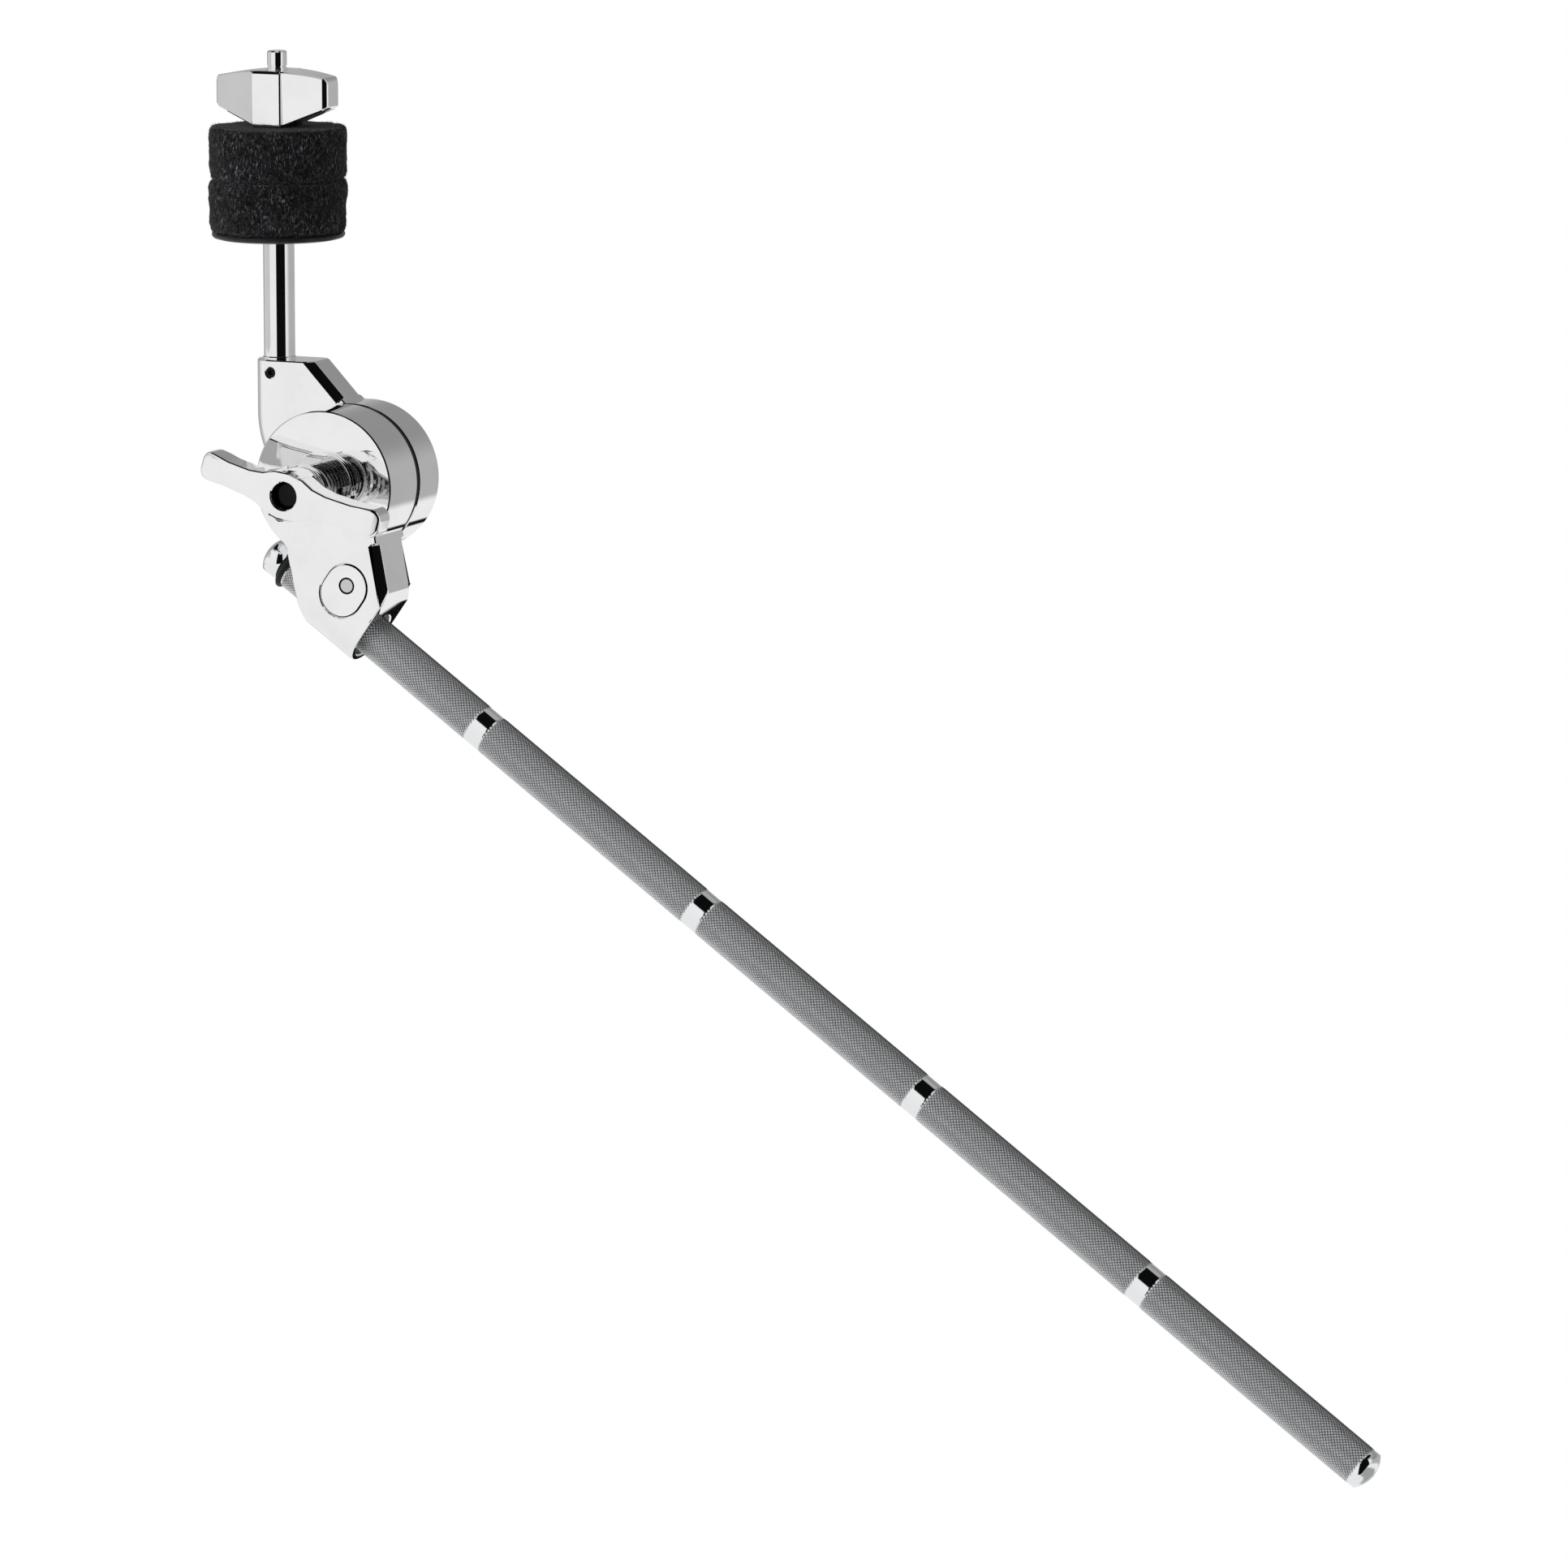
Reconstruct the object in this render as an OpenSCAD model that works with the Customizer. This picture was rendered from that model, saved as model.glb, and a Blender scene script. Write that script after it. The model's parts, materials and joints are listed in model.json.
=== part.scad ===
/* [Boom rod] */
// Diameter over the knurl
rod_d = 12.7; // [12:0.1:13]
// Overall length of the rod
rod_l = 436; // [300:1:500]
// Number of knurled sections
rod_sections = 5; // [3:1:7]
// Length of each smooth band between two sections
band_l = 5; // [3:0.5:8]
// Depth of the smooth bands below the knurl
band_step = 0.2; // [0.1:0.05:0.4]
// Angle of the rod below the horizontal
rod_slope = 35.3; // [20:0.1:50]
// How far the rod's upper end stands behind the pivot, measured along the rod
rod_behind = 6; // [4:0.5:12]
// Distance from the tilt pivot to the rod's axis
rod_drop = 30.65; // [29:0.05:32]

/* [Tilter] */
// Diameter of the two round halves
disc_d = 45; // [44:0.5:47]
// Thickness of the front (lower) half
front_t = 19.2; // [19:0.1:20]
// Outer face of the back (upper) half, measured from the seam
back_t = 14.2; // [13.6:0.1:15]
// Half width of the seam that holds the friction disc
seam = 0.8; // [0.4:0.05:0.9]
// Radius of the boss around the rod
boss_r = 9.6; // [9.2:0.05:9.8]
// Where the boss ends along the rod
boss_end = 36; // [35:0.1:40]
// Bevel on the long right-hand edges
bevel = 2.4; // [1:0.1:2.5]
// Pivot bolt diameter
pivot_d = 8; // [8:1:8]

/* [Cotter clamp] */
// Radius of the cotter's rounded ends
cotter_r = 6.75; // [6:0.05:6.8]
// Straight part of the cotter, across the rod
cotter_flat = 2.6; // [1:0.1:4]
// Distance from the rod's axis to the clamp bolt
clamp_off = 10.7; // [10.4:0.1:11.5]
// Clamp bolt diameter
clamp_d = 4; // [4:0.1:5]

/* [Cymbal post] */
// Post diameter
post_d = 9.5; // [8:0.1:9.5]
// Post axis left of the pivot
post_x = 27.6; // [26:0.1:30]
// Top face of the post's socket
socket_top = 34.3; // [32:0.1:37]
// Shoulder that carries the seat
shoulder_z = 70.3; // [60:0.1:90]
// Top of the post
post_top = 127.3; // [120:0.1:150]
// Diameter of the threaded end
thread_d = 6; // [6:1:6]
// Plain tip above the thread's relief groove
tip_l = 4.4; // [3:0.1:8]

/* [Felts and nuts] */
// Felt diameter
felt_d = 42; // [36:1:50]
// Thickness of one felt
felt_t = 15.85; // [8:0.05:16]
// Seat washer diameter
seat_d = 40.2; // [34:0.2:44]
// Tip to tip length of the post's wing nut
post_wing_l = 38; // [30:0.5:46]
// Tip to tip length of the tilter's wing nut
tilter_wing_l = 61; // [50:0.5:70]
// Rest angle of the tilter's wing nut
tilter_wing_a = -15.2; // [-90:0.1:90]
// Front face of the tilter's wing nut
wing_front = -45.7; // [-50:0.1:-44]

/* [Hidden] */
$fn = 96;
gap = 0.05;

rod_r = rod_d / 2;
disc_r = disc_d / 2;
section_l = rod_l / rod_sections;
rod_y = -front_t / 2;
rod_end = rod_l - rod_behind;
end_band = 4.5;
dome_h = 2.3;
tail_step = 0.4;
grip_0 = rod_end - section_l + band_l / 2;
grip_1 = rod_end - end_band;
grip_mid = (grip_0 + grip_1) / 2;
rod_c = cos(rod_slope);
rod_s = sin(rod_slope);

ring_at = 3;
ring_w = 1.8;
ring_r = 7.2;
ring_groove = 5.9;
ring_seat = ring_at + ring_w / 2 + 0.3;

bush_0 = 31.2;
bush_r = 7.6;
bush_inset = 1.2;

cotter_s = 23.45;
cotter_play = 0.3;
clamp_hole = 2.5;
cotter_split = 0.8;
clamp_t = rod_drop - clamp_off;
clamp_head_r = 4.3;
clamp_square = 5.9;

post_y = (back_t + seam) / 2;
half_t = (back_t - seam) / 2;
heel_r = 23.15;
heel_z = 18;
socket_floor = 14.3;

washer_r = 10.4;
washer_t = 1.6;
spring_wire = 0.9;
spring_turns = 4.5;
spring_mean = 6.3;
collar_t = 1.6;
collar_back = -32.4;
nut_back = collar_back - collar_t - gap;
wing_t = 8.4;
wing_tip_r = 3.2;
wing_tip_h = 4.4;
wing_sweep = 104;
bolt_head_t = 5.2;
bolt_hex = 13;
bolt_floor = 8.8;
bolt_front = -42.6;

seat_t = 2.5;
seat_top = shoulder_z + seat_t;
felt_0 = seat_top + gap;
felt_1 = felt_0 + felt_t;
felt_2 = felt_1 + gap;
felt_3 = felt_2 + felt_t;
sleeve_r = 4.6;
nut_0 = felt_3 + gap;
nut_h = 17;
nut_t = 7.1;
nut_tip_t = 4.6;
nut_corner = 1.4;
hub_w = 4.9;
hub_t = 7.9;
groove_w = 0.6;

chrome = [0.86, 0.87, 0.88];
satin = [0.62, 0.63, 0.64];
black = [0.06, 0.06, 0.065];
felt_c = [0.09, 0.09, 0.1];
nylon = [0.12, 0.12, 0.13];

// Row frame: origin on the rod's axis, in the middle of its last knurled section.
module row() {
    translate([-grip_mid * rod_c + rod_drop * rod_s, -rod_y, grip_mid * rod_s + rod_drop * rod_c])
        children();
}

// A point s along the rod from the pivot, with local Z running down the rod.
module on_rod(s, t = rod_drop) {
    translate([s * rod_c - t * rod_s, rod_y, -s * rod_s - t * rod_c])
        rotate([0, 90 + rod_slope, 0])
        children();
}

// Extrudes an outline drawn in X and Z from y0 to y1.
module slab(y0, y1) {
    translate([0, y1, 0])
        rotate([90, 0, 0])
        linear_extrude(height = y1 - y0)
        children();
}

// A cylinder running along Y.
module bar_y(r, y0, y1) {
    translate([0, y1, 0])
        rotate([90, 0, 0])
        cylinder(r = r, h = y1 - y0);
}

// A cylinder running along Z.
module bar_z(r, z0, z1) {
    translate([0, 0, z0])
        cylinder(r = r, h = z1 - z0);
}

// Places children at the clamp bolt's axis.
module at_clamp(t = clamp_t) {
    translate([cotter_s * rod_c - t * rod_s, 0, -cotter_s * rod_s - t * rod_c])
        children();
}

// A diagonal cutter for a straight edge between two points in X and Z.
module edge_cut(p, q, y, w) {
    run = q - p;
    translate([p[0], y, p[1]])
        rotate([0, atan2(run[0], run[1]), 0])
        rotate([0, 0, 45])
        translate([-w / sqrt(2), -w / sqrt(2), 0])
        cube([w * sqrt(2), w * sqrt(2), norm(run)]);
}

// Cuts a shallow dome on the end of a bar of radius r, whose tip is at height z.
module dome_cut(r, h, z, up) {
    dome_r = (r * r + h * h) / (2 * h);
    difference() {
        translate([0, up ? z - h : z - 1])
            square([r + 2, h + 1]);
        translate([0, up ? z - dome_r : z + dome_r])
            circle(r = dome_r);
    }
}

module boom_rod() {
    ring_0 = rod_behind + ring_at - ring_w / 2;
    tail_r = rod_r - tail_step;
    color(satin)
    on_rod(-rod_behind)
    rotate_extrude()
    difference() {
        polygon(concat(
            [[0, 0], [tail_r, 0], [tail_r, ring_0], [ring_groove, ring_0],
                [ring_groove, ring_0 + ring_w], [rod_r, ring_0 + ring_w]],
            [for (i = [1 : rod_sections - 1], k = [0 : 3])
                [k == 0 || k == 3 ? rod_r : rod_r - band_step,
                    i * section_l + (k < 2 ? -1 : 1) * band_l / 2
                    + (k == 1 ? band_step : k == 2 ? -band_step : 0)]],
            [[rod_r, rod_l - end_band], [rod_r - band_step, rod_l - end_band + band_step],
                [rod_r - band_step, rod_l], [0, rod_l]]));
        dome_cut(tail_r, dome_h, 0, false);
        dome_cut(rod_r - band_step, dome_h, rod_l, true);
    }
}

module rod_stop_ring() {
    side = ring_w / 2;
    color(black)
    on_rod(ring_at)
    rotate_extrude()
    difference() {
        translate([ring_groove, -side])
            square([ring_r - ring_groove, ring_w]);
        translate([ring_r, side])
            rotate(45)
            square(0.8, center = true);
        translate([ring_r, -side])
            rotate(45)
            square(0.8, center = true);
    }
}

module rod_bush() {
    color(nylon)
    on_rod(bush_0)
    difference() {
        cylinder(r = bush_r - gap, h = boss_end - bush_0 - bush_inset);
        translate([0, 0, -1])
            cylinder(r = rod_r + gap, h = 20);
    }
}

// Outline of the lower lug in X and Z; it runs past the boss, which ends square to the rod.
module lower_lug_outline() {
    polygon([[0, -9], [-13.4, -17.6], [-12.5, -19.6], [-9.6, -34], [-8.8, -41.5], [-8.5, -60],
        [16, -60], [17.54, -39.95], [20.4, -31.5], [15.9, -7.8]]);
}

// Section of a plate with a full round edge, reaching in along +X.
module round_edge(r, reach) {
    circle(r = r);
    translate([0, -r])
        square([reach, 2 * r]);
}

// A rounded slot across the rod, at the cotter's place.
module cotter_outline(r) {
    a = rod_drop - 10.15;
    b = a + cotter_flat;
    for (t = [a, b])
        translate([cotter_s * rod_c - t * rod_s, -cotter_s * rod_s - t * rod_c])
        circle(r = r);
    translate([cotter_s * rod_c, -cotter_s * rod_s])
        rotate(-rod_slope)
        translate([-r, -b])
        square([2 * r, b - a]);
}

module lower_tilter() {
    color(chrome)
    difference() {
        union() {
            bar_y(disc_r, -front_t, -seam);
            intersection() {
                on_rod(-40)
                    linear_extrude(height = 40 + boss_end)
                    rotate(180)
                    round_edge(boss_r, rod_drop + 8);
                slab(-front_t - 1, 1)
                    lower_lug_outline();
            }
        }
        bar_y(disc_r + 0.2, -seam, 1);
        bar_y(pivot_d / 2 + 0.08, -front_t - 1, 1);
        on_rod(-20)
            cylinder(r = rod_r + 2 * gap, h = 80);
        on_rod(-20)
            cylinder(r = ring_r + 0.5, h = 20 + ring_seat);
        on_rod(bush_0 - gap)
            cylinder(r = bush_r, h = 30);
        slab(-front_t - 1, 1)
            cotter_outline(cotter_r + cotter_play);
        edge_cut([17.6, -16.8], [21.4, -36.9], -front_t, bevel);
        edge_cut([17.6, -16.8], [21.4, -36.9], 0, bevel);
    }
}

// One half of the cotter, from y0 to y1, with its saddle and bolt hole.
module cotter_half(y0, y1, hole) {
    difference() {
        slab(y0, y1)
            cotter_outline(cotter_r);
        on_rod(-5)
            cylinder(r = rod_r + gap, h = 60);
        at_clamp()
            bar_y(hole, -front_t - 1, 1);
    }
}

module cotter_front() {
    color(chrome)
    cotter_half(-front_t, rod_y - cotter_split, clamp_hole);
}

module cotter_back() {
    color(chrome)
    cotter_half(rod_y + cotter_split, 0, clamp_hole);
}

module clamp_washer() {
    color(satin)
    at_clamp()
    difference() {
        bar_y(clamp_head_r + 0.5, 0, 1);
        bar_y(clamp_hole, -1, 2);
    }
}

module clamp_bolt() {
    color(satin)
    at_clamp()
    difference() {
        union() {
            bar_y(clamp_d / 2, -front_t + 0.1, 2);
            bar_y(clamp_head_r, 1 + gap, 2.4);
            translate([0, 5.4, 0])
                rotate([0, rod_slope, 0])
                cube([clamp_square, 6, clamp_square], center = true);
        }
        translate([0, 8.4, 0])
            rotate([-90, 0, 0])
            difference() {
                translate([0, 0, -0.6])
                    cylinder(r = 8, h = 2);
                translate([0, 0, -0.7])
                    cylinder(r1 = clamp_square * 0.68, r2 = clamp_square * 0.5, h = 2.2);
            }
    }
}

module friction_disc() {
    color(black)
    difference() {
        bar_y(disc_r - 0.25, -seam, seam - gap);
        bar_y(pivot_d / 2 + 0.2, -1, 1);
    }
}

module upper_tilter() {
    heel_x = heel_r - post_x;
    color(chrome)
    difference() {
        union() {
            bar_y(disc_r, seam, back_t);
            intersection() {
                translate([-post_x, post_y, heel_z])
                    linear_extrude(height = socket_top - heel_z)
                    round_edge(half_t, 40);
                slab(seam - 1, back_t + 1)
                    polygon([[-45, heel_z - 1], [-45, socket_top + 1], [-14.45, socket_top + 1],
                        [1, 18.9], [0, heel_z - 1]]);
            }
            translate([heel_x, post_y, heel_z])
                rotate([90, 0, 0])
                rotate([0, 0, 180])
                rotate_extrude(angle = 75)
                intersection() {
                    translate([heel_r, 0])
                        rotate(180)
                        round_edge(half_t, heel_r);
                    translate([0, -50])
                        square([100, 100]);
                }
        }
        bar_y(pivot_d / 2 + gap, -1, back_t + 1);
        translate([0, bolt_floor, 0])
            rotate([-90, 0, 0])
            cylinder(r = (bolt_hex + 0.3) / sqrt(3), h = 10, $fn = 6);
        translate([-post_x, post_y, 0])
            bar_z(post_d / 2, socket_floor, socket_top + 1);
        translate([-post_x, 0, 30.5])
            bar_y(1.5, -1, post_y);
        edge_cut([-17.4, socket_top + 4.1], [-3.5, 23.7], seam, bevel);
        edge_cut([-17.4, socket_top + 4.1], [-3.5, 23.7], back_t, bevel * 0.6);
    }
}

module pivot_bolt() {
    color(satin)
    difference() {
        union() {
            bar_y(pivot_d / 2, bolt_front, bolt_floor + 1);
            translate([0, bolt_floor, 0])
                rotate([-90, 0, 0])
                cylinder(r = bolt_hex / sqrt(3), h = bolt_head_t, $fn = 6);
        }
        translate([0, bolt_front, 0])
            rotate([90, 0, 0])
            difference() {
                translate([0, 0, -0.8])
                    cylinder(r = 8, h = 2);
                translate([0, 0, -0.9])
                    cylinder(r1 = pivot_d / 2 + 0.1, r2 = pivot_d / 2 - 1.9, h = 2);
            }
    }
}

module tilter_washer() {
    color(chrome)
    difference() {
        bar_y(washer_r, -front_t - washer_t, -front_t);
        bar_y(pivot_d / 2 + 0.2, -front_t - 3, -front_t + 1);
    }
}

// A round-wire spring along Z from 0 to h, with closed first and last turns.
module coil(mean, wire, h, turns) {
    around = 10;
    steps = 26 * turns;
    closed = 2.1 * wire;
    open = (h - 2 * wire - 2 * closed) / (turns - 2);
    function rise(a) = a < 1 ? closed * a
        : a < turns - 1 ? closed + open * (a - 1)
        : h - 2 * wire - closed * (turns - a);
    pts = [for (i = [0 : steps], j = [0 : around - 1])
        let (a = turns * i / steps, b = 360 * j / around, r = mean + wire * cos(b))
        [r * cos(360 * a), r * sin(360 * a), wire + rise(a) + wire * sin(b)]];
    tri = [for (i = [0 : steps - 1], j = [0 : around - 1], k = [0, 1])
        let (a = i * around + j, b = i * around + (j + 1) % around, c = a + around, d = b + around)
        k == 0 ? [a, b, d] : [a, d, c]];
    last = steps * around;
    cap_0 = [for (j = [1 : around - 2]) [0, j + 1, j]];
    cap_1 = [for (j = [1 : around - 2]) [last, last + j, last + j + 1]];
    polyhedron(points = pts, faces = concat(tri, cap_0, cap_1), convexity = 6);
}

module tilter_spring() {
    span = -front_t - washer_t - collar_back - 0.1;
    color(satin)
    translate([0, -front_t - washer_t - gap, 0])
        rotate([90, 0, 0])
        coil(spring_mean, spring_wire, span, spring_turns);
}

module tilter_collar() {
    color(chrome)
    difference() {
        bar_y(8.2, collar_back - collar_t, collar_back);
        bar_y(pivot_d / 2 + gap, collar_back - 4, collar_back + 1);
    }
}

// Outline of one wing of the tilter's wing nut.
module tilter_wing_outline() {
    tip = tilter_wing_l / 2;
    corner = wing_tip_h - wing_tip_r;
    edge = [[0, 7.2], [4.8, 6.6], [8.5, 4.9], [13, 4.1], [21, 3.9],
        [tip - wing_tip_r - 1.4, wing_tip_h - 0.1], [tip - wing_tip_r, wing_tip_h],
        [tip - wing_tip_r, corner], [tip, corner]];
    for (half = [0, 1])
        mirror([0, half]) {
            polygon(concat([[0, 0]], edge, [[tip, 0]]));
            translate([tip - wing_tip_r, corner])
                circle(r = wing_tip_r);
        }
}

module tilter_wing_nut() {
    color(chrome)
    rotate([0, -tilter_wing_a, 0])
    difference() {
        union() {
            intersection() {
                slab(wing_front, nut_back)
                    for (side = [0, 180])
                    rotate(side)
                    tilter_wing_outline();
                translate([0, wing_front + wing_sweep, 0])
                    difference() {
                        bar_z(wing_sweep, -20, 20);
                        bar_z(wing_sweep - wing_t, -21, 21);
                    }
            }
            bar_y(7.6, wing_front + 1, nut_back);
        }
        bar_y(pivot_d / 2 + gap, wing_front - 1, nut_back + 1);
    }
}

module cymbal_post() {
    post_r = post_d / 2;
    thread_r = thread_d / 2;
    tip_0 = post_top - tip_l;
    color(chrome)
    translate([-post_x, post_y, 0])
        rotate_extrude()
        polygon([[0, socket_floor], [post_r - 0.5, socket_floor], [post_r, socket_floor + 0.5],
            [post_r, socket_top], [post_r + 0.35, socket_top], [post_r + 0.35, socket_top + 0.5],
            [post_r, socket_top + 0.85], [post_r, shoulder_z - 0.4], [post_r - 0.4, shoulder_z],
            [thread_r, shoulder_z], [thread_r, tip_0 - groove_w], [thread_r - 0.3, tip_0 - groove_w],
            [thread_r - 0.3, tip_0], [thread_r, tip_0], [thread_r, post_top - 0.4],
            [thread_r - 0.4, post_top], [0, post_top]]);
}

module post_set_screw() {
    tip = post_y - post_d / 2;
    color(black)
    translate([-post_x, 0, 30.5])
        difference() {
            bar_y(1.45, seam + 0.35, tip);
            translate([0, seam, 0])
                rotate([-90, 0, 0])
                cylinder(r = 0.8, h = 1.3, $fn = 6);
        }
}

module seat_washer() {
    r = seat_d / 2;
    color(black)
    translate([-post_x, post_y, shoulder_z])
        rotate_extrude()
        polygon([[thread_d / 2 + gap, 0], [8, 0], [r - 2.2, 0.35], [r - 0.5, 0.8], [r, 1.4],
            [r, seat_t - 0.5], [r - 0.5, seat_t], [thread_d / 2 + gap, seat_t]]);
}

module cymbal_sleeve() {
    color(nylon)
    translate([-post_x, post_y, 0])
        difference() {
            bar_z(sleeve_r, seat_top, felt_3 - 0.8);
            bar_z(thread_d / 2 + gap, seat_top - 1, felt_3 + 1);
        }
}

// A felt disc with softly bulged sides.
module felt(z) {
    r = felt_d / 2;
    translate([-post_x, post_y, z])
        rotate_extrude()
        polygon([[sleeve_r + 0.1, 0], [r - 1.4, 0], [r - 0.5, 0.5], [r - 0.1, 1.8],
            [r, felt_t / 2], [r - 0.1, felt_t - 1.8], [r - 0.5, felt_t - 0.5], [r - 1.4, felt_t],
            [sleeve_r + 0.1, felt_t]]);
}

module lower_felt() {
    color(felt_c)
    felt(felt_0);
}

module upper_felt() {
    color(felt_c)
    felt(felt_2);
}

// Plan of the post's wing nut, in X and Y: thinner at the tips, with cut corners.
module post_wing_plan() {
    half = post_wing_l / 2;
    for (side = [0, 1], back = [0, 1])
        mirror([side, 0])
        mirror([0, back])
        polygon([[0, 0], [half, 0], [half, nut_tip_t - nut_corner], [half - nut_corner, nut_tip_t],
            [hub_w, nut_t], [0, nut_t]]);
}

module post_wing_nut() {
    half = post_wing_l / 2;
    arch_r = 84;
    color(chrome)
    translate([-post_x, post_y, nut_0])
        difference() {
            union() {
                intersection() {
                    linear_extrude(height = nut_h)
                        post_wing_plan();
                    slab(-hub_t, hub_t)
                        polygon([[-hub_w, 0.4], [hub_w, 0.4], [half - 2, 5.2], [half, 6.4],
                            [half, nut_h - 3.6], [half - 1.6, nut_h], [1.6 - half, nut_h],
                            [-half, nut_h - 3.6], [-half, 6.4], [2 - half, 5.2]]);
                    translate([0, 0, nut_h - arch_r])
                        bar_y(arch_r, -hub_t, hub_t);
                }
                slab(-hub_t, hub_t)
                    polygon([[-hub_w, 0], [hub_w, 0], [hub_w, nut_h - 0.5], [-hub_w, nut_h - 0.5]]);
            }
            bar_z(thread_d / 2 + gap, -1, nut_h + 1);
        }
}

row() boom_rod();
row() rod_stop_ring();
row() rod_bush();
row() lower_tilter();
row() cotter_front();
row() cotter_back();
row() clamp_washer();
row() clamp_bolt();
row() friction_disc();
row() upper_tilter();
row() pivot_bolt();
row() tilter_washer();
row() tilter_spring();
row() tilter_collar();
row() tilter_wing_nut();
row() cymbal_post();
row() post_set_screw();
row() seat_washer();
row() cymbal_sleeve();
row() lower_felt();
row() upper_felt();
row() post_wing_nut();
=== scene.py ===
import json
import math
import random

import bmesh
import bpy
import numpy as np
from mathutils import Matrix, Vector, noise
from mathutils.bvhtree import BVHTree

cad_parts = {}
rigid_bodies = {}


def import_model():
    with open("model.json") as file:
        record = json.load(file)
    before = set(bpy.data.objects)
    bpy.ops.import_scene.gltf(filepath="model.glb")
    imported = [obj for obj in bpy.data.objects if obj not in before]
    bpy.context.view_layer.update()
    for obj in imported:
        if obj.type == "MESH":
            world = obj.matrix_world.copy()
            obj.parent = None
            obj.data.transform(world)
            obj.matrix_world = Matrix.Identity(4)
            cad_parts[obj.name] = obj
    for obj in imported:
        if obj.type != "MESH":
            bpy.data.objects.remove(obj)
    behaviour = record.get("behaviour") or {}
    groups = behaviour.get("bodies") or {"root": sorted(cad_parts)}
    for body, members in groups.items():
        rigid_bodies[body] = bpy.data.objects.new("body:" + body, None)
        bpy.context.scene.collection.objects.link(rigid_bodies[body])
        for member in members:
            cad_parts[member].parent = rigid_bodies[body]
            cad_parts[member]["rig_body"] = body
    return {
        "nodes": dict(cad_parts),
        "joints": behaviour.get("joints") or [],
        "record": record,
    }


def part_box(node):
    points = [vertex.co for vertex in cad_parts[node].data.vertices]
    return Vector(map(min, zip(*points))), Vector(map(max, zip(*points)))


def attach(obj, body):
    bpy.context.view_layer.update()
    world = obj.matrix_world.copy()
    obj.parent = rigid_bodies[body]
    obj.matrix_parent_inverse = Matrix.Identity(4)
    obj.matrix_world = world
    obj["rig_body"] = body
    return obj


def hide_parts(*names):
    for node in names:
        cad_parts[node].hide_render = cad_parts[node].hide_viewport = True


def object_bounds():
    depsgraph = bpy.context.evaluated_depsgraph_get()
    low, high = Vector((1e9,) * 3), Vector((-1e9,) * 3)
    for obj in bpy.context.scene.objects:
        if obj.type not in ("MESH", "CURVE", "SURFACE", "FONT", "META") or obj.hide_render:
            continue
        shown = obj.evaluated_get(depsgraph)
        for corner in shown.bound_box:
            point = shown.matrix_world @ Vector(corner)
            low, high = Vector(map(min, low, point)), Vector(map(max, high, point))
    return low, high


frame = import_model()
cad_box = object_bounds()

MM = 0.001
NODES = frame["nodes"]
SLOT_OF = {part["node"]: part["material_slot"] for part in frame["record"]["subparts"]}
BODY_OF = {n: obj["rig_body"] for n, obj in NODES.items()}
COLOUR_OF = {m["slot"]: m["base_color"] for m in frame["record"]["materials"]}


# ---------------------------------------------------------------- node helpers


class Nodes:
    """A short way to add and link shader nodes in one tree. Inputs i0, i1 and so on go by number."""

    def __init__(self, tree):
        self.tree = tree
        tree.nodes.clear()

    def add(self, kind, **inputs):
        node = self.tree.nodes.new("ShaderNode" + kind)
        for key, value in inputs.items():
            if hasattr(node, key) and key not in node.inputs:
                setattr(node, key, value)
                continue
            numbered = key[0] == "i" and key[1:].isdigit()
            socket = node.inputs[int(key[1:]) if numbered else key]
            if isinstance(value, bpy.types.NodeSocket):
                self.tree.links.new(value, socket)
            else:
                socket.default_value = value
        return node

    def math(self, operation, a, b=0.0, clamp=False):
        node = self.add("Math", operation=operation, i0=a, i1=b)
        node.use_clamp = clamp
        return node.outputs[0]

    def ramp(self, value, low, high, to_low=0.0, to_high=1.0):
        """A smooth step of value from low to high."""
        node = self.add("MapRange", interpolation_type="SMOOTHSTEP", i0=value)
        limits = {"From Min": low, "From Max": high, "To Min": to_low, "To Max": to_high}
        for name, number in limits.items():
            node.inputs[name].default_value = number
        return node.outputs[0]

    def mix(self, factor, a, b):
        """Mixes two colours."""
        node = self.add("Mix", data_type="RGBA")
        for name, value in (("Factor", factor), ("A", a), ("B", b)):
            kind = "VALUE" if name == "Factor" else "RGBA"
            socket = next(s for s in node.inputs if s.name == name and s.type == kind)
            if isinstance(value, bpy.types.NodeSocket):
                self.tree.links.new(value, socket)
            else:
                socket.default_value = value
        return next(s for s in node.outputs if s.type == "RGBA")

    def noise(self, place, scale, detail=2.0, roughness=0.5):
        node = self.add("TexNoise", Vector=place, Scale=scale, Detail=detail, Roughness=roughness)
        return node.outputs["Fac"] if "Fac" in node.outputs else node.outputs[0]

    def softened(self, radius):
        """A normal that rounds hard edges over the radius, in the look only."""
        node = self.add("Bevel", Radius=radius)
        node.samples = 4
        return node.outputs[0]


def grey(value):
    return (value, value, value, 1.0)


def tint(rgb, factor=1.0):
    return (rgb[0] * factor, rgb[1] * factor, rgb[2] * factor, 1.0)


def new_material(name):
    material = bpy.data.materials.new(name)
    material.use_nodes = True
    nodes = Nodes(material.node_tree)
    place = nodes.add("TexCoord").outputs["Object"]
    return material, nodes, place


def finish_material(nodes, shader):
    nodes.add("OutputMaterial", Surface=shader.outputs[0])


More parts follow.
